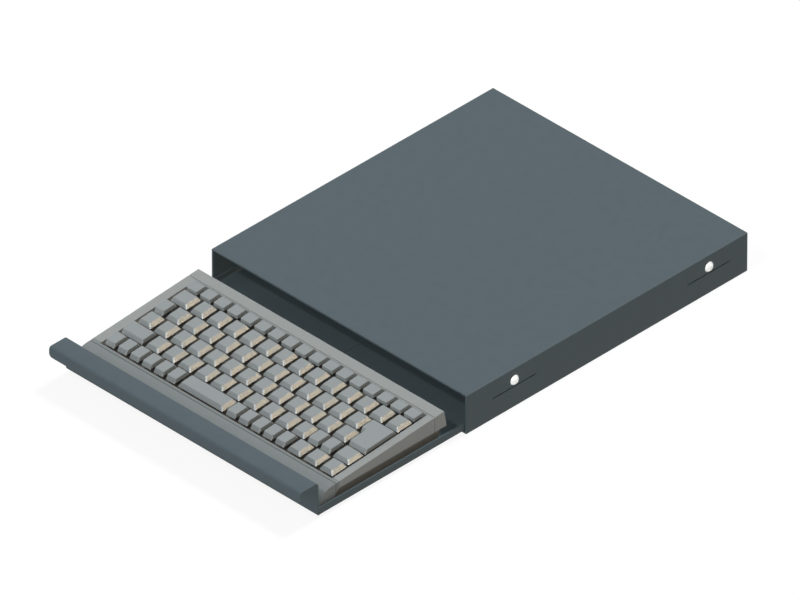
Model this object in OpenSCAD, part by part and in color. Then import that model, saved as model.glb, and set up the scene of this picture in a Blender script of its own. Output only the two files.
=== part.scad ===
// Keyboard drawer that hangs under a desk: a folded sheet housing, a sliding tray and a compact keyboard.
// Origin at the middle of the housing's top face, X to the right, Y to the rear, Z up, tray drawn out.

/* [Sheet metal] */
// Thickness of the folded steel sheet
sheet_t = 1.5; // [1.2:0.1:1.8]
// Inside radius of every bend
bend_r = 1.2; // [0.8:0.1:1.6]
// Outside radius of the pressed bends along the housing and the tray's flanges
edge_r = 0.8; // [0.4:0.1:1.4]

/* [Housing] */
// Space between the handle's top and the underside of the housing's top
top_gap = 1.4; // [1:0.1:4]
// Space between the tray floor and the housing's bottom flanges
floor_gap = 1.5; // [1.2:0.1:3]
// Space between the tray's side flanges and the housing's side walls
side_gap = 0.6; // [0.4:0.1:1]
// Width of the inward bottom flanges
bottom_flange_w = 14; // [11:0.5:24]
// Distance from the housing's front edge to the front guide blocks
guide_setback = 30.3; // [10:0.1:50]
// Distance from the rear guide blocks to the housing's rear face
rear_margin = 19.9; // [17:0.1:40]
// Width of the notch for the keyboard's lead in the rear panel
notch_w = 32; // [20:1:60]
// Height of the notch for the keyboard's lead
notch_h = 15; // [11:0.5:20]
// Corner radius of the notch
notch_r = 4; // [3:0.5:5]
// Depth of the rear panel's flange under the housing's top
panel_flange_w = 12; // [8:0.5:14]

/* [Guides] */
// Length of each guide block along the tray's travel
guide_len = 50; // [40:1:60]
// How far a guide block reaches inward past the tray's side flange
guide_cover = 1; // [0.8:0.1:1.1]
// Running clearance between a guide block and the tray's side flange
guide_gap = 0.4; // [0.3:0.1:0.6]
// Depth below the housing's top face of the guide screws
screw_depth = 11.7; // [10:0.1:13]
// Distance from a guide screw down to the keying slit
slit_drop = 6.2; // [5.6:0.1:8]
// Height of the keying slit in the side wall
slit_h = 1.2; // [1:0.1:1.6]
// Diameter of the guide screws
screw_d = 5; // [4:0.5:5]
// Diameter of the guide screws' button heads
screw_head_d = 9.5; // [8.5:0.1:10]
// Height of the guide screws' button heads
screw_head_h = 2.75; // [2.2:0.05:3]
// Width across flats of the screws' hexagon socket
socket_af = 3; // [2.5:0.5:3]
// Width of the glide strips that carry the tray
glide_w = 8; // [5:0.5:9]
// Thickness of the rubber bumpers behind the tray
bumper_t = 5; // [3:0.5:8]
// Diameter of the rubber bumpers behind the tray
bumper_d = 7; // [5:0.5:8]

/* [Tray] */
// Distance that the tray slides from shut to fully drawn out
tray_travel = 168; // [150:1:190]
// Height of the front wall from under the floor to the top of the handle
front_wall_h = 32.5; // [31:0.5:40]
// Depth of the pull handle from the wall's back face to the lip's front face
handle_d = 20.6; // [16:0.2:28]
// Height of the handle's turned-down lip
handle_lip_h = 9.7; // [8:0.1:14]
// Radius of the lip's lower corners
lip_corner_r = 3.5; // [2:0.5:5]
// Height of the tray's side and rear flanges
tray_flange_h = 7; // [6:0.5:9]
// Length of the stop ears that stand up from the side flanges
ear_len = 7.2; // [5:0.2:12]
// Height of the stop ears above the side flanges
ear_h = 10; // [6:0.5:12]
// Clearance left at each end of the tray's travel
stop_gap = 0.3; // [0.3:0.1:1]
// Space from the front wall to the keyboard
keyboard_setback = 4.3; // [3:0.1:10]
// Space between the keyboard and the tray's side flanges
keyboard_side_gap = 1.65; // [1.5:0.05:5]
// Width of the pressed crease along the middle of the tray floor
crease_w = 0.8; // [0.5:0.1:2]

/* [Keys] */
// Pitch of the ordinary keys, both ways
key_pitch = 18.75; // [18:0.05:19.5]
// Pitch width of the number row's first key
corner_key_w = 23; // [20:0.5:26]
// Pitch width of the small tab key
tab_key_w = 13.7; // [13.4:0.1:16]
// Pitch width of the left shift key
shift_key_w = 27.8; // [24:0.1:32]
// Pitch width of the two small keys beside the right end of the lower row
small_key_w = 14.6; // [13.6:0.1:16]
// Pitch width of the bottom row's modifier keys
modifier_key_w = 14.1; // [13.4:0.1:15]
// Depth of the function row along the key plane
function_row_d = 12.25; // [11.6:0.05:14]
// Gap between neighbouring key caps of a row at their base
column_gap = 3.6; // [3:0.1:3.8]
// Gap between the rows of key caps at their base
row_gap = 1.2; // [1:0.1:1.8]
// Offset of all the keys to the right of the case's middle
key_shift = 0.9; // [0:0.1:1.2]
// Rise of the key tops above the case
key_rise = 3.1; // [3:0.05:3.6]
// Rise of the function keys above the case
function_rise = 2.8; // [2.2:0.1:3]
// Depth of the caps' sides below the case's surface
cap_skirt = 1; // [0.5:0.1:1.6]
// Wall of the key caps
cap_wall = 1.2; // [0.9:0.1:1.3]
// Slope inset of the ordinary key caps
cap_taper = 2.45; // [2.2:0.05:2.6]
// Slope inset at the sides of the steep key caps, and all round the function keys
steep_taper = 0.2; // [0.1:0.05:0.3]
// Slope inset at the front of the space bar
space_taper = 2.8; // [2.2:0.1:3]
// Radius of the finger dish across the key tops
dish_r = 40; // [30:1:80]
// Depth of the finger dish
dish_depth = 0.3; // [0.15:0.05:0.45]
// Distance that a key goes down
key_travel = 3; // [2:0.1:3.4]
// Width of the key caps' square stems
stem_w = 3.8; // [3:0.1:4.2]
// Running clearance round a stem in its switch
stem_gap = 0.3; // [0.2:0.05:0.4]
// Width of the square switch bodies
switch_w = 6.6; // [6:0.1:6.8]

/* [Keyboard case] */
// Slope of the key plane in degrees
key_tilt = 4.2; // [2:0.1:6]
// Height of the key plane above the tray floor at the front edge of the keys
field_front_h = 17.5; // [17:0.1:19]
// Case margin beside the keys
case_side_margin = 8.5; // [8:0.1:12]
// Case margin in front of the keys
case_front_margin = 23.4; // [21:0.1:30]
// Case margin behind the keys
case_rear_margin = 13.8; // [13.2:0.1:20]
// Radius of the case's rear corners, seen from above
case_corner_r = 1; // [1:0.5:4]
// Clearance between the key caps and the opening in the case at the front and the back
field_gap = 2.3; // [1:0.1:2.5]
// Clearance between the key caps and the opening in the case at the sides
field_side_gap = 2.2; // [1.8:0.1:2.6]
// Wall of the two half cases
case_wall = 2; // [1.6:0.1:2.4]
// Height of the lower case
lower_case_h = 9.4; // [8.6:0.1:10]
// Clearance between the lower case and the upper case's side walls
lower_case_gap = 0.3; // [0.2:0.1:0.6]
// Distance of the lower case's front behind the upper case's front
lower_case_setback = 7; // [6:0.5:9]
// Length of the rolled front edge of the upper case
roll_len = 16.4; // [12:0.2:18]
// Height of the rolled edge's toe above the case's underside
toe_lift = 2; // [1:0.1:4]
// How far the upper case's rear face leans back
rear_lean = 3; // [1:0.5:5]
// Depth of the recess under the upper case's rear edge
rear_recess = 6; // [4:0.5:8]
// Width of the shadow lines on the case
groove_w = 0.8; // [0.5:0.1:1]
// Depth of the shadow lines on the case
groove_depth = 0.8; // [0.5:0.1:1]
// Distance of the front shadow line from the keys
front_groove = 4.5; // [3.6:0.1:8]
// Distance of the rear shadow line from the keys
rear_groove = 3; // [2.8:0.1:8]
// Height of the rubber feet under the keyboard
foot_h = 1.5; // [1:0.1:2]
// Diameter of the rubber feet under the keyboard
foot_d = 12; // [8:0.5:16]
// Thickness of the steel switch plate
plate_t = 1.2; // [1:0.1:1.5]
// Thickness of the circuit board
board_t = 1.6; // [1.2:0.1:2]
// Diameter of the case screws
case_screw_d = 2.6; // [2:0.1:3]

/* [Hidden] */
$fn = 48;
eps = 0.05;
bend_o = bend_r + sheet_t;
// Clearance of a loose fit, and of a screw in the thread that it cuts
loose_fit = 0.4;
thread_fit = 0.1;

letter_count = 12;
lower_count = 10;
function_count = 17;
left_modifiers = 6;
right_modifiers = 5;
arrow_count = 3;
field_w = corner_key_w + (letter_count + 1) * key_pitch;
space_w = field_w - (left_modifiers + right_modifiers) * modifier_key_w - arrow_count * key_pitch;
function_w = field_w / function_count;
end_key_w = field_w - shift_key_w - lower_count * key_pitch - 2 * small_key_w;
enter_upper_w = field_w - tab_key_w - letter_count * key_pitch;
enter_lower_w = field_w - (letter_count + 1) * key_pitch;
enter_x = key_shift + (field_w - enter_lower_w) / 2;
row_count = 5;
field_d = row_count * key_pitch + function_row_d;

// Half widths, from the keyboard outwards
case_x = field_w / 2 + case_side_margin;
tray_in = case_x + keyboard_side_gap;
tray_out = tray_in + sheet_t;
wall_in = tray_out + side_gap;
wall_out = wall_in + sheet_t;
guide_t = side_gap + sheet_t + guide_cover;

// Places along Y, with the tray drawn out
housing_d = guide_setback + 2 * guide_len + ear_len + tray_travel + 2 * stop_gap + rear_margin;
front_y = -housing_d / 2;
rear_y = housing_d / 2;
front_guide_y = front_y + guide_setback;
ear_y = front_guide_y + guide_len + stop_gap;
rear_guide_y = ear_y + ear_len + tray_travel + stop_gap;
wall_back_y = front_y + stop_gap - tray_travel;
tray_rear_y = rear_y - sheet_t - bumper_t - stop_gap - tray_travel;
case_front_y = wall_back_y + keyboard_setback;
field_y = case_front_y + case_front_margin;
case_rear_y = field_y + field_d * cos(key_tilt) + case_rear_margin;

// Heights
handle_z = -sheet_t - top_gap;
tray_bottom = handle_z - front_wall_h;
tray_floor = tray_bottom + sheet_t;
tray_flange_z = tray_bottom + tray_flange_h;
bottom_flange_z = tray_bottom - floor_gap;
housing_bottom = bottom_flange_z - sheet_t;
housing_h = -housing_bottom;
guide_bottom = tray_flange_z + guide_gap;
guide_rim = 0.5;
guide_top = -screw_depth + screw_head_d / 2 + guide_rim;
screw_z = -screw_depth;
slit_z = screw_z - slit_drop;
case_bottom = tray_floor + foot_h;
case_split = case_bottom + lower_case_h;
toe_z = case_bottom + toe_lift;
field_z = tray_floor + field_front_h;

// Levels in the key plane's own frame, zero at the case's surface
switch_clear = 0.5;
stem_engage = 1;
function switch_top(rise) = rise - cap_wall - key_travel - switch_clear;
plate_top = switch_top(function_rise) - stem_engage - key_travel - stem_gap;
plate_bottom = plate_top - plate_t;
board_gap = 0.6;
rim_t = 1.5;
plate_edge = 0.5;
plate_margin = rim_t + plate_edge;

// Places in the keyboard case
lower_x = case_x - case_wall - lower_case_gap;
lower_front_y = case_front_y + lower_case_setback;
lower_rear_y = case_rear_y + rear_lean - rear_recess;
boss_d = 6;
lower_boss_d = 8;
case_screw_head_d = 2 * case_screw_d;
screw_bite = 3;
screw_recess = 0.4;
boss_x = field_w / 2 - key_pitch;
front_boss_y = field_y - case_front_margin / 2;
rear_boss_y = case_rear_y - rear_recess;

// Pitch widths of the rows from left to right
function repeated(w, n) = [for (i = [1:n]) w];
function_row = repeated(function_w, function_count);
number_row = concat([corner_key_w], repeated(key_pitch, letter_count + 1));
upper_row = concat([tab_key_w], repeated(key_pitch, letter_count));
home_row = repeated(key_pitch, letter_count + 1);
lower_row = concat([shift_key_w], repeated(key_pitch, lower_count), repeated(small_key_w, 2), [end_key_w]);
bottom_row = concat(
    repeated(modifier_key_w, left_modifiers),
    [space_w],
    repeated(modifier_key_w, right_modifiers),
    repeated(key_pitch, arrow_count)
);
function left_of(row, i) = i == 0 ? key_shift - field_w / 2 : left_of(row, i - 1) + row[i - 1];
function mid_of(row, i) = left_of(row, i) + row[i] / 2;
function row_y(r) = (r + 0.5) * key_pitch;
function_y = row_count * key_pitch + function_row_d / 2;

case_grey = "#949695";
cap_grey = "#969ea0";
sheet_grey = "#5d696f";

// Quarter of a bend in the sheet, centred on the bend's axis
module bend_2d() {
    intersection() {
        difference() {
            circle(bend_o);
            circle(bend_r);
        }
        square(bend_o);
    }
}

// Quarter of a bend that is pressed nearly square on its outside
module pressed_bend_2d() {
    difference() {
        union() {
            square([bend_o, bend_o - edge_r]);
            square([bend_o - edge_r, bend_o]);
            translate([bend_o - edge_r, bend_o - edge_r]) circle(edge_r);
        }
        circle(bend_r);
    }
}

// Edge folded up from a flat floor that ends at x = 0
module fold_2d(h) {
    translate([0, bend_o]) mirror([0, 1]) pressed_bend_2d();
    translate([bend_r, bend_o]) square([sheet_t, h - bend_o]);
}

// Draws a profile whose x runs along X and y along Z, from y_from to the rear
module along_y(y_from, len) {
    translate([0, y_from + len, 0]) rotate([90, 0, 0]) linear_extrude(len) children();
}

// Draws a profile whose x runs along Y and y along Z, across the width
module across(half) {
    rotate([90, 0, 90]) translate([0, 0, -half]) linear_extrude(2 * half) children();
}

module both_sides() {
    children();
    mirror([1, 0, 0]) children();
}

module housing_profile_2d() {
    translate([bend_o - wall_out, -sheet_t]) square([2 * (wall_out - bend_o), sheet_t]);
    for (side = [0, 1]) mirror([side, 0]) {
        translate([wall_out - bend_o, -bend_o]) pressed_bend_2d();
        translate([wall_in, housing_bottom + bend_o]) square([sheet_t, housing_h - 2 * bend_o]);
        translate([wall_out - bend_o, housing_bottom + bend_o]) mirror([0, 1]) pressed_bend_2d();
        translate([wall_out - bottom_flange_w, housing_bottom]) square([bottom_flange_w - bend_o, sheet_t]);
    }
}

// Centres of the guide blocks along Y
guide_ys = [front_guide_y + guide_len / 2, rear_guide_y + guide_len / 2];

module housing_shell() {
    slit_len = guide_len;
    color(sheet_grey) difference() {
        along_y(front_y, housing_d) housing_profile_2d();
        for (y = guide_ys) both_sides() {
            translate([wall_in - eps, y, screw_z]) rotate([0, 90, 0])
                cylinder(d = screw_d + loose_fit, h = sheet_t + 2 * eps);
            translate([wall_in - eps, y - slit_len / 2, slit_z - slit_h / 2])
                cube([sheet_t + 2 * eps, slit_len, slit_h]);
        }
    }
}

// Notch outline, open at the panel's lower edge and shrunk all round by an inset
module notch_2d(inset) {
    w = notch_w - 2 * inset;
    top = bottom_flange_z + notch_h - inset;
    r = notch_r - inset / 2;
    translate([-w / 2, bottom_flange_z - eps]) square([w, notch_h - inset - r + eps]);
    translate([r - w / 2, top - r - eps]) square([w - 2 * r, r + eps]);
    for (x = [r - w / 2, w / 2 - r]) translate([x, top - r]) circle(r);
}

// Clear section inside the housing, with the bends' inside radius in its corners
module bay_2d() {
    h = -sheet_t - bottom_flange_z;
    translate([-wall_in, bottom_flange_z + bend_r]) square([2 * wall_in, h - 2 * bend_r]);
    translate([bend_r - wall_in, bottom_flange_z]) square([2 * (wall_in - bend_r), h]);
    for (x = [bend_r - wall_in, wall_in - bend_r])
        for (z = [bottom_flange_z + bend_r, -sheet_t - bend_r])
            translate([x, z]) circle(bend_r);
}

// Side view of the rear panel, with its welding flange under the housing's top
module rear_panel_2d() {
    bend_z = -sheet_t - bend_o;
    translate([rear_y - sheet_t, bottom_flange_z]) square([sheet_t, bend_z - bottom_flange_z]);
    translate([rear_y - bend_o, bend_z]) bend_2d();
    translate([rear_y - panel_flange_w, -2 * sheet_t]) square([panel_flange_w - bend_o, sheet_t]);
}

module rear_panel() {
    color(sheet_grey) difference() {
        intersection() {
            across(wall_in) rear_panel_2d();
            along_y(rear_y - panel_flange_w, panel_flange_w) bay_2d();
        }
        along_y(rear_y - sheet_t - eps, sheet_t + 2 * eps) notch_2d(0);
    }
}

module cable_grommet() {
    lip_t = 1.2;
    lip_w = 1.8;
    body_w = 1.6;
    color("#1c1d1e") difference() {
        union() {
            along_y(rear_y - sheet_t, sheet_t) notch_2d(0);
            for (y = [rear_y - sheet_t - lip_t, rear_y])
                along_y(y, lip_t) notch_2d(-lip_w);
        }
        along_y(rear_y - sheet_t - lip_t - eps, sheet_t + 2 * lip_t + 2 * eps) notch_2d(body_w);
        translate([-notch_w, rear_y - notch_w, bottom_flange_z - notch_h])
            cube([2 * notch_w, 2 * notch_w, notch_h]);
    }
}

insert_wall = 1;
insert_floor = 0.6;
insert_d = screw_d + 2 * insert_wall;
insert_len = guide_t - insert_floor;

// Hold-down block on the right wall, with a keying rib in the slit and lead-in slopes below
module guide_block(y_from) {
    lead = 4;
    lead_h = 1.2;
    rib_t = slit_h - loose_fit;
    rib_len = guide_len - 2 * loose_fit;
    color("#232527") difference() {
        union() {
            translate([wall_in - guide_t, 0, 0]) rotate([90, 0, 90]) linear_extrude(guide_t)
                polygon([
                    [y_from, guide_bottom + lead_h],
                    [y_from + lead, guide_bottom],
                    [y_from + guide_len - lead, guide_bottom],
                    [y_from + guide_len, guide_bottom + lead_h],
                    [y_from + guide_len, guide_top],
                    [y_from, guide_top]
                ]);
            translate([wall_in - eps, y_from + (guide_len - rib_len) / 2, slit_z - rib_t / 2])
                cube([sheet_t / 2 + eps, rib_len, rib_t]);
        }
        translate([wall_in - insert_len, y_from + guide_len / 2, screw_z]) rotate([0, 90, 0])
            cylinder(d = insert_d, h = insert_len + eps);
    }
}

module front_right_guide() {
    guide_block(front_guide_y);
}

module front_left_guide() {
    mirror([1, 0, 0]) guide_block(front_guide_y);
}

module rear_right_guide() {
    guide_block(rear_guide_y);
}

module rear_left_guide() {
    mirror([1, 0, 0]) guide_block(rear_guide_y);
}

module guide_inserts() {
    color("#b08d4c") for (y = guide_ys) both_sides()
        translate([wall_in - insert_len, y, screw_z]) rotate([0, 90, 0]) difference() {
            cylinder(d = insert_d, h = insert_len);
            translate([0, 0, -eps]) cylinder(d = screw_d + thread_fit, h = insert_len + 2 * eps);
        }
}

// Button-head screw with its head's underside at z = 0
module button_screw(shank) {
    socket_floor = 0.45 * screw_head_h;
    dome_r = (screw_head_d * screw_head_d / 4 + screw_head_h * screw_head_h) / (2 * screw_head_h);
    difference() {
        union() {
            intersection() {
                cylinder(d = screw_head_d, h = screw_head_h);
                translate([0, 0, screw_head_h - dome_r]) sphere(dome_r);
            }
            translate([0, 0, -shank]) cylinder(d = screw_d, h = shank + eps);
        }
        translate([0, 0, socket_floor])
            cylinder(d = socket_af / cos(30), h = screw_head_h, $fn = 6);
    }
}

module side_screws() {
    shank = sheet_t + insert_len - loose_fit;
    color("white") for (y = guide_ys) both_sides()
        translate([wall_out, y, screw_z]) rotate([0, 90, 0]) button_screw(shank);
}

// Low-friction strip on the right bottom flange, rounded at its ends
module glide() {
    run_gap = 0.3;
    end_gap = 12;
    edge_gap = 1;
    x_mid = wall_out - bottom_flange_w + edge_gap + glide_w / 2;
    color("#dcdad2") translate([x_mid, 0, bottom_flange_z]) linear_extrude(floor_gap - run_gap) {
        translate([-glide_w / 2, front_y + end_gap + glide_w / 2])
            square([glide_w, housing_d - 2 * end_gap - glide_w]);
        for (y = [front_y + end_gap + glide_w / 2, rear_y - end_gap - glide_w / 2])
            translate([0, y]) circle(d = glide_w);
    }
}

module right_glide() {
    glide();
}

module left_glide() {
    mirror([1, 0, 0]) glide();
}

module rear_bumpers() {
    spread = 0.7;
    x_mid = spread * tray_in;
    z_mid = tray_flange_z - bumper_d / 2;
    edge = 0.8;
    color("#1c1d1e") both_sides()
        translate([x_mid, rear_y - sheet_t, z_mid]) rotate([90, 0, 0]) rotate_extrude()
            polygon([
                [0, 0], [bumper_d / 2, 0], [bumper_d / 2, bumper_t - edge],
                [bumper_d / 2 - edge, bumper_t], [0, bumper_t]
            ]);
}

// Front wall and pull handle: y runs up from the floor's underside, x runs forward
module handle_2d() {
    lip_x = bend_r + handle_d;
    top = front_wall_h;
    translate([0, bend_o]) mirror([0, 1]) bend_2d();
    translate([bend_r, bend_o]) square([sheet_t, top - 2 * bend_o]);
    translate([bend_o + bend_r, top - bend_o]) mirror([1, 0]) bend_2d();
    translate([bend_o + bend_r, top - sheet_t]) square([lip_x - 2 * bend_o - bend_r, sheet_t]);
    translate([lip_x - bend_o, top - bend_o]) bend_2d();
    translate([lip_x - sheet_t, top - handle_lip_h]) square([sheet_t, handle_lip_h - bend_o]);
}

// What is cut away to round one lower corner of the handle's lip
module lip_corner() {
    along_y(wall_back_y - handle_d - eps, 2 * sheet_t) difference() {
        translate([tray_out - lip_corner_r, handle_z - handle_lip_h - eps])
            square([lip_corner_r + eps, lip_corner_r + eps]);
        translate([tray_out - lip_corner_r, handle_z - handle_lip_h + lip_corner_r])
            circle(lip_corner_r);
    }
}

module tray_sheet() {
    relief = 1;
    floor_front = wall_back_y + bend_r;
    floor_rear = tray_rear_y - bend_o;
    side_len = floor_rear - relief - floor_front;
    crease_depth = 0.4;
    color("#4a5256") difference() {
        union() {
            translate([bend_o - tray_out, floor_front, tray_bottom])
                cube([2 * (tray_out - bend_o), floor_rear - floor_front, sheet_t]);
            both_sides() translate([tray_out - bend_o, 0, tray_bottom])
                along_y(floor_front, side_len) fold_2d(tray_flange_h);
            both_sides() translate([tray_in, wall_back_y - eps, tray_bottom + bend_o])
                cube([sheet_t, bend_r + 2 * eps, tray_flange_h - bend_o]);
            both_sides() translate([tray_in, ear_y, tray_flange_z - eps])
                cube([sheet_t, ear_len, ear_h + eps]);
            translate([0, floor_rear, tray_bottom])
                across(tray_out - bend_o) fold_2d(tray_flange_h);
            translate([0, floor_front, tray_bottom])
                across(tray_out) mirror([1, 0]) handle_2d();
        }
        both_sides() lip_corner();
        translate([-crease_w / 2, floor_front + relief, tray_floor - crease_depth])
            cube([crease_w, floor_rear - floor_front - 2 * relief, sheet_t]);
    }
}

function plane_z(y) = field_z + (y - field_y) * tan(key_tilt);

// Side view of the upper case, drawn in by an inset but open below: a rolled front edge that reaches
// down to a toe, a sloping top and a leaning rear
module upper_case_2d(inset) {
    roll_end = case_front_y + roll_len;
    roll_h = plane_z(roll_end) - toe_z;
    skirt_y = field_y - groove_w;
    drop = inset > 0 ? eps : 0;
    steps = 10;
    polygon(concat(
        [
            [case_rear_y + rear_lean - inset, case_split - drop],
            [skirt_y, case_split - drop],
            [skirt_y - (case_split - toe_z), toe_z - drop]
        ],
        [for (i = [0:steps]) [
            roll_end - (roll_len - inset) * cos(90 * i / steps),
            toe_z - drop + (roll_h - inset + drop) * sin(90 * i / steps)
        ]],
        [[case_rear_y - inset, plane_z(case_rear_y - inset) - inset]]
    ));
}

module key_plane() {
    translate([0, field_y, field_z]) rotate([key_tilt, 0, 0]) children();
}

// Box in the key plane over the opening for the caps, grown by a margin on each side
module field_box(margin, z_from, z_to) {
    w = field_w - column_gap + 2 * field_side_gap + 2 * margin;
    d = field_d - row_gap + 2 * field_gap + 2 * margin;
    translate([key_shift - w / 2, (field_d - d) / 2, z_from]) cube([w, d, z_to - z_from]);
}

module boss_places() {
    for (x = [-boss_x, boss_x])
        for (y = [front_boss_y, rear_boss_y])
            translate([x, y, 0]) children();
}

// Plan of the upper case, with its rear corners rounded
module case_plan_2d() {
    rear = case_rear_y + rear_lean;
    translate([-case_x, case_front_y]) square([2 * case_x, rear - case_corner_r - case_front_y]);
    for (x = [case_corner_r - case_x, case_x - case_corner_r])
        translate([x, rear - case_corner_r]) circle(case_corner_r);
    translate([case_corner_r - case_x, case_front_y])
        square([2 * (case_x - case_corner_r), rear - case_front_y]);
}

module keyboard_upper_case() {
    color(case_grey) difference() {
        union() {
            difference() {
                intersection() {
                    across(case_x) upper_case_2d(0);
                    translate([0, 0, housing_bottom]) linear_extrude(housing_h) case_plan_2d();
                }
                across(case_x - case_wall) upper_case_2d(case_wall);
            }
            key_plane() field_box(rim_t, plate_top, -case_wall / 2);
            intersection() {
                across(case_x - eps) upper_case_2d(case_wall / 2);
                boss_places() translate([0, 0, case_split]) cylinder(d = boss_d, h = housing_h);
            }
        }
        key_plane() field_box(0, plate_top - rim_t, case_wall);
        boss_places() translate([0, 0, case_split - eps])
            cylinder(d = case_screw_d + thread_fit, h = screw_bite + eps);
        case_grooves();
    }
}

// Shadow lines that run over the top of the case and down its sides
module case_grooves() {
    difference() {
        for (y = [field_y - front_groove, field_y + field_d * cos(key_tilt) + rear_groove])
            translate([-wall_out, y - groove_w / 2, housing_bottom])
                cube([2 * wall_out, groove_w, housing_h]);
        across(case_x - groove_depth) upper_case_2d(groove_depth);
    }
}

// Side view of the lower case, drawn in by an inset, with sloped lower corners
module lower_case_2d(inset, rise) {
    front = lower_front_y + inset;
    rear = lower_rear_y - inset;
    bottom = case_bottom + inset;
    slope = 3;
    polygon([
        [front, case_split + rise], [front, bottom + slope], [front + slope, bottom],
        [rear - slope, bottom], [rear, bottom + slope], [rear, case_split + rise]
    ]);
}

module keyboard_lower_case() {
    seam_place = 0.7;
    seam_y = field_y + seam_place * field_d;
    color("#7d7d7a") difference() {
        union() {
            difference() {
                across(lower_x) lower_case_2d(0, 0);
                across(lower_x - case_wall) lower_case_2d(case_wall, eps);
            }
            intersection() {
                across(lower_x) lower_case_2d(0, 0);
                boss_places() translate([0, 0, case_bottom]) cylinder(d = lower_boss_d, h = lower_case_h);
            }
        }
        boss_places() {
            translate([0, 0, case_bottom - eps])
                cylinder(d = case_screw_d + loose_fit, h = lower_case_h + 2 * eps);
            translate([0, 0, case_bottom - eps])
                cylinder(d = case_screw_head_d + loose_fit, h = case_wall + eps);
        }
        both_sides() translate([lower_x - groove_depth, seam_y, case_bottom - eps])
            cube([groove_depth + eps, groove_w, lower_case_h + 2 * eps]);
    }
}

module case_screws() {
    socket_depth = 0.8;
    shank = lower_case_h - screw_recess + screw_bite - loose_fit;
    color("#8d9194") boss_places() translate([0, 0, case_bottom + screw_recess]) difference() {
        union() {
            cylinder(d = case_screw_head_d, h = case_wall - screw_recess);
            cylinder(d = case_screw_d, h = shank);
        }
        translate([0, 0, -eps]) cylinder(d = case_screw_d, h = socket_depth + eps, $fn = 6);
    }
}

module keyboard_feet() {
    foot_x = lower_x - foot_d;
    front_foot_y = lower_front_y + foot_d;
    rear_foot_y = lower_rear_y - foot_d;
    edge = 0.4;
    color("#2a2b2c") for (x = [-foot_x, foot_x]) for (y = [front_foot_y, rear_foot_y])
        translate([x, y, tray_floor]) rotate_extrude() polygon([
            [0, 0], [foot_d / 2 - edge, 0], [foot_d / 2, edge], [foot_d / 2, foot_h], [0, foot_h]
        ]);
}

// Socket for the keyboard's lead, under the rear edge of the upper case
module cable_outlet() {
    outlet_d = 6;
    collar_d = 8;
    collar_t = 1;
    tip_gap = 1.5;
    tip_taper = 0.5;
    out = rear_recess - tip_gap;
    bore_d = 3.6;
    z_mid = (case_bottom + case_split) / 2;
    color("#2a2b2c") translate([field_w / 4, lower_rear_y, z_mid]) rotate([-90, 0, 0]) rotate_extrude()
        polygon([
            [bore_d / 2, 0], [collar_d / 2, 0], [collar_d / 2, collar_t], [outlet_d / 2, collar_t],
            [outlet_d / 2 - tip_taper, out], [bore_d / 2, out]
        ]);
}

// Sets a piece on the pitch centre of each key in part of a row
module at_keys(row, y, from, to) {
    for (i = [from:to]) translate([mid_of(row, i), y, 0]) children();
}

module switch_places() {
    at_keys(number_row, row_y(4), 0, len(number_row) - 1) children();
    at_keys(upper_row, row_y(3), 0, len(upper_row) - 1) children();
    at_keys(home_row, row_y(2), 0, len(home_row) - 1) children();
    at_keys(lower_row, row_y(1), 0, len(lower_row) - 1) children();
    at_keys(bottom_row, row_y(0), 0, len(bottom_row) - 1) children();
    translate([enter_x, row_y(2.5), 0]) children();
}

module switch_plate() {
    color("#b5b8ba") key_plane() field_box(plate_margin, plate_bottom, plate_top);
}

module circuit_board() {
    color("#3b6b45") key_plane()
        field_box(plate_margin, plate_bottom - board_gap - board_t, plate_bottom - board_gap);
}

// Square switch body with a through hole for the cap's stem
module switch_body(rise) {
    hole = stem_w + 2 * stem_gap;
    h = switch_top(rise) - plate_top;
    translate([0, 0, plate_top]) difference() {
        translate([-switch_w / 2, -switch_w / 2, 0]) cube([switch_w, switch_w, h]);
        translate([-hole / 2, -hole / 2, -eps]) cube([hole, hole, h + 2 * eps]);
    }
}

module key_switches() {
    color("#2d2f31") key_plane() {
        switch_places() switch_body(key_rise);
        at_keys(function_row, function_y, 0, function_count - 1) switch_body(function_rise);
    }
}

// Tapered block of a cap: pitch size, slope insets, rise, and an inward offset for the hollow
module cap_block(w, d, sides, front, back, rise, inset) {
    x = (w - column_gap) / 2 - inset;
    y = (d - row_gap) / 2 - inset;
    low = -cap_skirt - (inset > 0 ? eps : 0);
    top = rise - inset;
    intersection() {
        translate([0, d / 2, 0]) rotate([90, 0, 0]) linear_extrude(d) polygon([
            [-x, low], [x, low], [x - sides, top], [sides - x, top]
        ]);
        translate([-w / 2, 0, 0]) rotate([90, 0, 90]) linear_extrude(w) polygon([
            [-y, low], [y, low], [y - back, top], [front - y, top]
        ]);
    }
}

module cap_stem(rise) {
    end = switch_top(rise) - stem_engage;
    translate([-stem_w / 2, -stem_w / 2, end]) cube([stem_w, stem_w, rise - cap_wall - end + eps]);
}

// Hollow key cap with a stem
module cap(w, d, sides, front, back, rise) {
    difference() {
        cap_block(w, d, sides, front, back, rise, 0);
        cap_block(w, d, sides, front, back, rise, cap_wall);
    }
    cap_stem(rise);
}

// Ordinary cap, sloped on all sides, with a finger dish across its top
module letter_cap(w) {
    difference() {
        cap(w, key_pitch, cap_taper, cap_taper, cap_taper, key_rise);
        translate([0, key_pitch / 2, key_rise - dish_depth + dish_r]) rotate([90, 0, 0])
            cylinder(r = dish_r, h = key_pitch, $fn = 96);
    }
}

// Cap with steep sides and a level top
module steep_cap(w) {
    cap(w, key_pitch, steep_taper, cap_taper, cap_taper, key_rise);
}

module keys(row, r, from, to) {
    color(cap_grey) key_plane() at_keys(row, row_y(r), from, to) children();
}

module function_keys() {
    color(cap_grey) key_plane() at_keys(function_row, function_y, 0, function_count - 1)
        cap(function_w, function_row_d, steep_taper, steep_taper, steep_taper, function_rise);
}

module corner_key() {
    keys(number_row, 4, 0, 0) letter_cap(corner_key_w);
}

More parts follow.
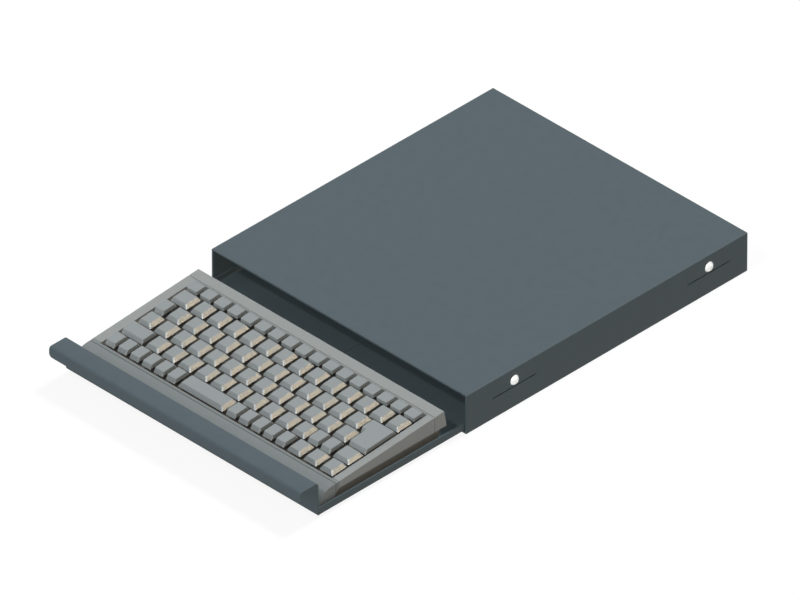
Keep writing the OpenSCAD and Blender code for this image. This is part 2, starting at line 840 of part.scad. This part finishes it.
module number_keys() {
    keys(number_row, 4, 1, letter_count) letter_cap(key_pitch);
}

module backspace_key() {
    keys(number_row, 4, letter_count + 1, letter_count + 1) letter_cap(key_pitch);
}

module tab_key() {
    keys(upper_row, 3, 0, 0) steep_cap(tab_key_w);
}

module upper_letter_keys() {
    keys(upper_row, 3, 1, letter_count) letter_cap(key_pitch);
}

module caps_key() {
    keys(home_row, 2, 0, 0) letter_cap(key_pitch);
}

module home_letter_keys() {
    keys(home_row, 2, 1, letter_count) letter_cap(key_pitch);
}

// The two overlapping blocks of the stepped enter key
module enter_blocks(inset) {
    step = enter_upper_w - enter_lower_w;
    cap_block(enter_lower_w, 2 * key_pitch, steep_taper, cap_taper, cap_taper, key_rise, inset);
    translate([-step / 2, key_pitch / 2, 0])
        cap_block(enter_upper_w, key_pitch, steep_taper, cap_taper, cap_taper, key_rise, inset);
}

module enter_key() {
    color(cap_grey) key_plane() translate([enter_x, row_y(2.5), 0]) {
        difference() {
            enter_blocks(0);
            enter_blocks(cap_wall);
        }
        cap_stem(key_rise);
    }
}

module left_shift_key() {
    keys(lower_row, 1, 0, 0) steep_cap(shift_key_w);
}

module lower_letter_keys() {
    keys(lower_row, 1, 1, lower_count) letter_cap(key_pitch);
}

module right_shift_key() {
    keys(lower_row, 1, lower_count + 1, lower_count + 1) steep_cap(small_key_w);
}

module up_arrow_key() {
    keys(lower_row, 1, lower_count + 2, lower_count + 2) steep_cap(small_key_w);
}

module end_key() {
    keys(lower_row, 1, lower_count + 3, lower_count + 3) letter_cap(end_key_w);
}

module left_modifier_keys() {
    keys(bottom_row, 0, 0, left_modifiers - 1) steep_cap(modifier_key_w);
}

module space_bar() {
    keys(bottom_row, 0, left_modifiers, left_modifiers) cap(space_w, key_pitch, cap_taper, space_taper, cap_taper, key_rise);
}

module right_modifier_keys() {
    keys(bottom_row, 0, left_modifiers + 1, left_modifiers + right_modifiers)
        steep_cap(modifier_key_w);
}

first_arrow = left_modifiers + right_modifiers + 1;

module left_arrow_key() {
    keys(bottom_row, 0, first_arrow, first_arrow) letter_cap(key_pitch);
}

module down_arrow_key() {
    keys(bottom_row, 0, first_arrow + 1, first_arrow + 1) letter_cap(key_pitch);
}

module right_arrow_key() {
    keys(bottom_row, 0, first_arrow + 2, first_arrow + 2) letter_cap(key_pitch);
}

housing_shell();
rear_panel();
cable_grommet();
front_left_guide();
front_right_guide();
rear_left_guide();
rear_right_guide();
guide_inserts();
side_screws();
left_glide();
right_glide();
rear_bumpers();
tray_sheet();
keyboard_lower_case();
keyboard_upper_case();
switch_plate();
circuit_board();
key_switches();
case_screws();
keyboard_feet();
cable_outlet();
function_keys();
corner_key();
number_keys();
backspace_key();
tab_key();
upper_letter_keys();
caps_key();
home_letter_keys();
enter_key();
left_shift_key();
lower_letter_keys();
right_shift_key();
up_arrow_key();
end_key();
left_modifier_keys();
space_bar();
right_modifier_keys();
left_arrow_key();
down_arrow_key();
right_arrow_key();
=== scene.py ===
"""Looks for the keyboard drawer: camera, soft studio light, moulded and painted materials."""

import math

import bpy
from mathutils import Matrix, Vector


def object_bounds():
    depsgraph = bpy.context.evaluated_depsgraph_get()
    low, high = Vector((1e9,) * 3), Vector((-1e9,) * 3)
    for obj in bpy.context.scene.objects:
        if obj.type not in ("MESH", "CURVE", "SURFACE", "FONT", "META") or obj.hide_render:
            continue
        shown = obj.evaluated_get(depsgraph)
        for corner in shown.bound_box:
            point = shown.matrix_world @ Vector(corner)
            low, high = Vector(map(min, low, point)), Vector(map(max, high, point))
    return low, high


MM = 0.001
WHITE = (1.0, 1.0, 1.0)

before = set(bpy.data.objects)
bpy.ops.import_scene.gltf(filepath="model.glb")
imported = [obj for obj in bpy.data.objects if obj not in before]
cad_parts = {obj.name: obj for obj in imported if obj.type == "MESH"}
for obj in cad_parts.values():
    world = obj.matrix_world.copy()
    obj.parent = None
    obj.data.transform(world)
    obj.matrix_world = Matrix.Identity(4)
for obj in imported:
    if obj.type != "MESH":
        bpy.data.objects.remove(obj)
cad_low, cad_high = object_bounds()
scene = bpy.context.scene
scene.view_settings.view_transform = "Standard"


def srgb(red, green, blue):
    """Linear colour with alpha from 8-bit display values."""
    def linear(value):
        value = value / 255
        return value / 12.92 if value <= 0.04045 else ((value + 0.055) / 1.055) ** 2.4
    return (linear(red), linear(green), linear(blue), 1.0)


# Camera: an isometric view from the front right, through a very long lens

VIEW_DIRECTION = Vector((1, -1, 1)).normalized()
VIEW_TARGET = Vector((-7.0, -85.3, -20.4)) * MM
VIEW_WIDTH = 653.7 * MM
LENS = 1200
SENSOR = 36
CLIP_NEAR = 0.5
CLIP_FAR = 1.5


def make_camera():
    data = bpy.data.cameras.new("camera")
    data.sensor_fit = "HORIZONTAL"
    data.sensor_width = SENSOR
    data.lens = LENS
    distance = VIEW_WIDTH * LENS / SENSOR
    data.clip_start = distance * CLIP_NEAR
    data.clip_end = distance * CLIP_FAR
    camera = bpy.data.objects.new("camera", data)
    scene.collection.objects.link(camera)
    camera.location = VIEW_TARGET + VIEW_DIRECTION * distance
    camera.rotation_mode = "QUATERNION"
    camera.rotation_quaternion = (-VIEW_DIRECTION).to_track_quat("-Z", "Y")
    scene.camera = camera


make_camera()


# Node helpers

class Tree:
    """Short calls for adding and joining nodes in one node tree."""

    def __init__(self, tree):
        self.tree = tree
        tree.nodes.clear()

    def add(self, kind, **values):
        node = self.tree.nodes.new(kind)
        for name, value in values.items():
            setattr(node, name, value)
        return node

    def join(self, source, target):
        self.tree.links.new(source, target)

    def seen(self):
        """1 for rays that carry the background into the picture, by sight, gloss or glass."""
        path = self.add("ShaderNodeLightPath")
        total = path.outputs["Is Camera Ray"]
        for name in ("Is Glossy Ray", "Is Transmission Ray"):
            either = self.add("ShaderNodeMath", operation="MAXIMUM")
            self.join(total, either.inputs[0])
            self.join(path.outputs[name], either.inputs[1])
            total = either.outputs[0]
        return total


# Light: an even sky and sun lamps, each with its direction, strength, width in degrees and colour

SKY = 0.18
LAMPS = {
    "key_lamp": ((0.0, 0.50, 0.866), 1.47, 11, (0.98, 1.01, 1.03)),
    "fill_lamp": ((-0.75, -0.60, 0.28), 0.32, 12, WHITE),
    "front_lamp": ((0.0, -0.609, 0.793), 0.55, 3, WHITE),
    "low_lamp": ((0.0, -0.98, 0.20), 0.43, 12, WHITE),
    "corner_lamp": ((0.769, -0.632, 0.093), 0.11, 6, (1.0, 0.96, 0.86)),
    "glint_lamp": ((0.501, -0.598, 0.626), 0.46, 5, WHITE),
    "soft_lamp": ((0.0, -0.50, 0.866), 0.10, 30, WHITE),
    "warm_lamp": ((0.818, 0.516, 0.254), 0.32, 8, (1.0, 0.74, 0.42)),
}
SHADOWLESS = ("low_lamp", "corner_lamp", "glint_lamp", "soft_lamp", "warm_lamp")


def make_light():
    """Adds the sky and the lamps.

    The key comes from high behind, the fill from the left, and the front lamp leaves the shade under the
    housing's top edge. The low and soft lamps lift the fronts and tops. The corner, glint and warm lamps
    are mirrored in the caps.
    """
    world = bpy.data.worlds.new("studio")
    scene.world = world
    world.use_nodes = True
    tree = Tree(world.node_tree)
    sky = tree.add("ShaderNodeBackground")
    sky.inputs["Strength"].default_value = SKY
    backdrop = tree.add("ShaderNodeBackground")
    mix = tree.add("ShaderNodeMixShader")
    out = tree.add("ShaderNodeOutputWorld")
    for node in (sky, backdrop):
        node.inputs["Color"].default_value = (*WHITE, 1)
    tree.join(tree.seen(), mix.inputs[0])
    tree.join(sky.outputs[0], mix.inputs[1])
    tree.join(backdrop.outputs[0], mix.inputs[2])
    tree.join(mix.outputs[0], out.inputs[0])
    for name, (towards, strength, angle, colour) in LAMPS.items():
        data = bpy.data.lights.new(name, "SUN")
        data.energy = strength
        data.angle = math.radians(angle)
        data.color = colour
        data.use_shadow = name not in SHADOWLESS
        data.cycles.use_multiple_importance_sampling = name not in SHADOWLESS
        lamp = bpy.data.objects.new(name, data)
        scene.collection.objects.link(lamp)
        lamp.rotation_mode = "QUATERNION"
        lamp.rotation_quaternion = Vector(towards).to_track_quat("Z", "Y")


make_light()


# Floor: white to the camera, with the object's shadow kept, and clear from below

FLOOR_HALF = 4.0
FLOOR_GLOW = 0.88
FLOOR_SHADE = 0.14
FLOOR_BOUNCE = 0.25
FLOOR_DROP = 0.1 * MM


def make_floor():
    mesh = bpy.data.meshes.new("floor")
    corners = [(-1, -1), (1, -1), (1, 1), (-1, 1)]
    mesh.from_pydata([(x * FLOOR_HALF, y * FLOOR_HALF, 0) for x, y in corners], [], [(0, 1, 2, 3)])
    floor = bpy.data.objects.new("floor", mesh)
    floor.location = (0, 0, cad_low.z - FLOOR_DROP)
    scene.collection.objects.link(floor)
    material = bpy.data.materials.new("floor_white")
    material.use_nodes = True
    tree = Tree(material.node_tree)
    bounce = tree.add("ShaderNodeBsdfDiffuse")
    bounce.inputs["Color"].default_value = (*[FLOOR_BOUNCE] * 3, 1)
    shade = tree.add("ShaderNodeBsdfDiffuse")
    shade.inputs["Color"].default_value = (*[FLOOR_SHADE] * 3, 1)
    glow = tree.add("ShaderNodeEmission")
    glow.inputs["Strength"].default_value = FLOOR_GLOW
    shown = tree.add("ShaderNodeAddShader")
    mix = tree.add("ShaderNodeMixShader")
    side = tree.add("ShaderNodeNewGeometry")
    clear = tree.add("ShaderNodeBsdfTransparent")
    top_only = tree.add("ShaderNodeMixShader")
    out = tree.add("ShaderNodeOutputMaterial")
    tree.join(shade.outputs[0], shown.inputs[0])
    tree.join(glow.outputs[0], shown.inputs[1])
    tree.join(tree.seen(), mix.inputs[0])
    tree.join(bounce.outputs[0], mix.inputs[1])
    tree.join(shown.outputs[0], mix.inputs[2])
    tree.join(side.outputs["Backfacing"], top_only.inputs[0])
    tree.join(mix.outputs[0], top_only.inputs[1])
    tree.join(clear.outputs[0], top_only.inputs[2])
    tree.join(top_only.outputs[0], out.inputs[0])
    mesh.materials.append(material)


make_floor()


# Materials; painted shade darkens the keyboard case in front of the groove that runs along its keys

FRONT_STRIP_Y = -303.4 * MM
CLOUD_LOW = 0.3
CLOUD_HIGH = 0.7
CLOUD_DETAIL = 3
GRAIN_DETAIL = 2
GRAIN_DEPTH = 0.1 * MM
MIX_FIRST = 6
MIX_SECOND = 7
MIX_RESULT = 2


def paint_strip_shade(tree, colour, place, shade_scale):
    """Colour multiplied by the painted shade where a place lies in front of the groove."""
    mix = tree.add("ShaderNodeMix", data_type="RGBA", blend_type="MULTIPLY")
    mix.inputs[MIX_SECOND].default_value = (*shade_scale, 1)
    parts = tree.add("ShaderNodeSeparateXYZ")
    strip_shade_mask = tree.add("ShaderNodeMath", operation="LESS_THAN")
    strip_shade_mask.inputs[1].default_value = FRONT_STRIP_Y
    tree.join(place, parts.inputs[0])
    tree.join(parts.outputs["Y"], strip_shade_mask.inputs[0])
    tree.join(strip_shade_mask.outputs[0], mix.inputs[0])
    tree.join(colour, mix.inputs[MIX_FIRST])
    return mix.outputs[MIX_RESULT]


def surface(name, colour, rough, mottle=0.03, mottle_mm=9.0, grain_mm=0.5, grain=0.05, rough_swing=0.05,
            metallic=0.0, specular=0.5, front_painted_shade=None):
    """Moulded or painted skin: cloudy colour, uneven gloss and a fine grain in its relief."""
    material = bpy.data.materials.new(name)
    material.use_nodes = True
    tree = Tree(material.node_tree)
    out = tree.add("ShaderNodeOutputMaterial")
    shader = tree.add("ShaderNodeBsdfPrincipled")
    shader.inputs["Metallic"].default_value = metallic
    shader.inputs["Specular IOR Level"].default_value = specular
    place = tree.add("ShaderNodeTexCoord").outputs["Object"]

    cloud = tree.add("ShaderNodeTexNoise")
    cloud.inputs["Scale"].default_value = 1 / (mottle_mm * MM)
    cloud.inputs["Detail"].default_value = CLOUD_DETAIL
    tree.join(place, cloud.inputs["Vector"])
    tone = tree.add("ShaderNodeValToRGB")
    dark, light = tone.color_ramp.elements
    dark.position = CLOUD_LOW
    light.position = CLOUD_HIGH
    dark.color = [c * (1 - mottle) for c in colour[:3]] + [1]
    light.color = [min(1, c * (1 + mottle)) for c in colour[:3]] + [1]
    tree.join(cloud.outputs["Fac"], tone.inputs["Fac"])
    base = tone.outputs["Color"]
    # painted shade on the case strip in front of the groove
    if front_painted_shade:
        base = paint_strip_shade(tree, base, place, front_painted_shade)
    tree.join(base, shader.inputs["Base Color"])

    gloss = tree.add("ShaderNodeMapRange")
    gloss.inputs["From Min"].default_value = CLOUD_LOW
    gloss.inputs["From Max"].default_value = CLOUD_HIGH
    gloss.inputs["To Min"].default_value = rough - rough_swing
    gloss.inputs["To Max"].default_value = rough + rough_swing
    tree.join(cloud.outputs["Fac"], gloss.inputs["Value"])
    tree.join(gloss.outputs["Result"], shader.inputs["Roughness"])

    speck = tree.add("ShaderNodeTexNoise")
    speck.inputs["Scale"].default_value = 1 / (grain_mm * MM)
    speck.inputs["Detail"].default_value = GRAIN_DETAIL
    tree.join(place, speck.inputs["Vector"])
    bump = tree.add("ShaderNodeBump")
    bump.inputs["Strength"].default_value = grain
    bump.inputs["Distance"].default_value = GRAIN_DEPTH
    tree.join(speck.outputs["Fac"], bump.inputs["Height"])
    tree.join(bump.outputs["Normal"], shader.inputs["Normal"])
    tree.join(shader.outputs[0], out.inputs[0])
    return material


SHEET = srgb(84, 97, 103)
# Painted shade: the case strip in front of the groove is darkened by this factor, in place of the shade
# that falls there
STRIP_PAINTED_SHADE = (0.66, 0.69, 0.705)
SKINS = {
    "housing_paint": surface("housing_powder_coat", SHEET, 0.4, grain_mm=0.8, grain=0.04, specular=0.15),
    "tray_paint": surface("tray_powder_coat", SHEET, 0.4, grain_mm=0.8, grain=0.04, specular=0.15),
    "case_plastic": surface("case_moulding", srgb(148, 152, 151), 0.5, grain_mm=0.35, grain=0.08,
                            front_painted_shade=STRIP_PAINTED_SHADE),
    "lower_case_plastic": surface("lower_case_moulding", srgb(109, 108, 103), 0.55, grain_mm=0.35,
                                  grain=0.08),
    "cap_plastic": surface("key_cap_moulding", srgb(146, 152, 153), 0.25, mottle=0.01, grain_mm=0.4,
                           grain=0.001, rough_swing=0.01),
    "guide_plastic": surface("guide_moulding", srgb(38, 40, 42), 0.45, grain_mm=0.4, grain=0.06),
    "glide_plastic": surface("glide_strip", srgb(214, 212, 204), 0.4, grain_mm=0.6, grain=0.04),
    "switch_plastic": surface("switch_moulding", srgb(48, 50, 52), 0.4, grain_mm=0.4, grain=0.04),
    "black_rubber": surface("soft_rubber", srgb(30, 31, 32), 0.75, mottle=0.08, grain_mm=0.6, grain=0.12),
    "bright_zinc": surface("zinc_plate", srgb(240, 240, 238), 0.35, mottle_mm=3, metallic=1.0, grain=0.03),
    # The switch plate's dark colour is partly its own dark finish and partly painted shade for the gaps
    # between the keys
    "plate_steel": surface("dark_steel_and_gap_shade", srgb(84, 80, 74), 0.6, mottle=0.05, specular=0.2),
    "brass": surface("turned_brass", srgb(196, 164, 98), 0.33, mottle=0.05, metallic=1.0),
    "board": surface("board_lacquer", srgb(46, 92, 58), 0.35, mottle=0.06),
}


# Edges: welded, flat faces joined, then small radii on most pieces and flat corners on the caps

SHARP = math.radians(14)
FLAT = math.radians(0.4)
STEEP = 0.35
WELD_REACH = 0.001 * MM


def mesh_group(name):
    """New geometry nodes with one mesh in and one mesh out."""
    group = bpy.data.node_groups.new(name, "GeometryNodeTree")
    for side in ("INPUT", "OUTPUT"):
        group.interface.new_socket(name="Geometry", in_out=side, socket_type="NodeSocketGeometry")
    tree = Tree(group)
    return group, tree, tree.add("NodeGroupInput"), tree.add("NodeGroupOutput")


def edge_group(name, level_weight=1.0, smooth=True):
    """Sets the shading, and each outer edge's share of the edge radius: all of it on steep edges."""
    group, tree, begin, end = mesh_group(name)
    rounded = tree.add("GeometryNodeSetShadeSmooth")
    rounded.inputs["Shade Smooth"].default_value = smooth
    creased = tree.add("GeometryNodeSetShadeSmooth", domain="EDGE")
    creased.inputs["Shade Smooth"].default_value = False
    angle = tree.add("GeometryNodeInputMeshEdgeAngle")
    sharp = tree.add("FunctionNodeCompare", data_type="FLOAT", operation="GREATER_THAN")
    outer = tree.add("FunctionNodeCompare", data_type="FLOAT", operation="GREATER_THAN")
    for bend, test in (("Unsigned Angle", sharp), ("Signed Angle", outer)):
        test.inputs[1].default_value = SHARP
        tree.join(angle.outputs[bend], test.inputs[0])
    ends = tree.add("GeometryNodeInputMeshEdgeVertices")
    span = tree.add("ShaderNodeVectorMath", operation="SUBTRACT")
    unit = tree.add("ShaderNodeVectorMath", operation="NORMALIZE")
    parts = tree.add("ShaderNodeSeparateXYZ")
    rise = tree.add("ShaderNodeMath", operation="ABSOLUTE")
    steep = tree.add("ShaderNodeMath", operation="GREATER_THAN")
    steep.inputs[1].default_value = STEEP
    weight = tree.add("ShaderNodeMapRange")
    weight.inputs["To Min"].default_value = level_weight
    weight.inputs["To Max"].default_value = 1.0
    store = tree.add("GeometryNodeStoreNamedAttribute", data_type="FLOAT", domain="EDGE")
    store.inputs["Name"].default_value = "bevel_weight_edge"
    tree.join(ends.outputs["Position 1"], span.inputs[0])
    tree.join(ends.outputs["Position 2"], span.inputs[1])
    tree.join(span.outputs[0], unit.inputs[0])
    tree.join(unit.outputs[0], parts.inputs[0])
    tree.join(parts.outputs["Z"], rise.inputs[0])
    tree.join(rise.outputs[0], steep.inputs[0])
    tree.join(steep.outputs[0], weight.inputs["Value"])
    tree.join(begin.outputs[0], rounded.inputs["Geometry"])
    tree.join(rounded.outputs[0], creased.inputs["Geometry"])
    tree.join(sharp.outputs[0], creased.inputs["Selection"])
    tree.join(creased.outputs[0], store.inputs["Geometry"])
    tree.join(outer.outputs[0], store.inputs["Selection"])
    tree.join(weight.outputs["Result"], store.inputs["Value"])
    tree.join(store.outputs[0], end.inputs[0])
    return group


def weld_group():
    """Joins the imported faces and drops their stored normals."""
    group, tree, begin, end = mesh_group("weld")
    plain = tree.add("GeometryNodeRemoveAttribute")
    plain.inputs["Name"].default_value = "custom_normal"
    merge = tree.add("GeometryNodeMergeByDistance")
    merge.inputs["Distance"].default_value = WELD_REACH
    tree.join(begin.outputs[0], plain.inputs["Geometry"])
    tree.join(plain.outputs[0], merge.inputs["Geometry"])
    tree.join(merge.outputs[0], end.inputs[0])
    return group


CAP_LEVEL_WEIGHT = 1 / 2.3
WELD = weld_group()
EVEN_EDGES = edge_group("even_edges")
CAP_EDGES = edge_group("cap_edges", CAP_LEVEL_WEIGHT, smooth=False)


def soften(piece, width_mm, edges=EVEN_EDGES, segments=2):
    """Rounds a CAD node's outer edges, or cuts them flat with one segment, without touching its mesh."""
    weld = piece.modifiers.new("weld", "NODES")
    weld.node_group = WELD
    flat = piece.modifiers.new("flat", "DECIMATE")
    flat.decimate_type = "DISSOLVE"
    flat.angle_limit = FLAT
    marks = piece.modifiers.new("edges", "NODES")
    marks.node_group = edges
    bevel = piece.modifiers.new("radius", "BEVEL")
    bevel.limit_method = "WEIGHT"
    bevel.width = width_mm * MM
    bevel.segments = segments
    bevel.harden_normals = segments > 1
    bevel.use_clamp_overlap = segments > 1
    bevel.miter_outer = "MITER_ARC"


EDGE_MM = {
    "housing_paint": 0.25,
    "tray_paint": 0.25,
    "case_plastic": 0.22,
    "lower_case_plastic": 0.22,
    "guide_plastic": 0.3,
    "glide_plastic": 0.3,
    "switch_plastic": 0.2,
    "black_rubber": 0.15,
    "bright_zinc": 0.12,
    "plate_steel": 0.15,
    "brass": 0.12,
    "board": 0.15,
}
CAP_EDGE_MM = 0.75

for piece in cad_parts.values():
    slot = piece.material_slots[0]
    finish = slot.material.name.split(".")[0]
    slot.material = SKINS[finish]
    if finish == "cap_plastic":
        soften(piece, CAP_EDGE_MM, CAP_EDGES, segments=1)
    else:
        soften(piece, EDGE_MM[finish])
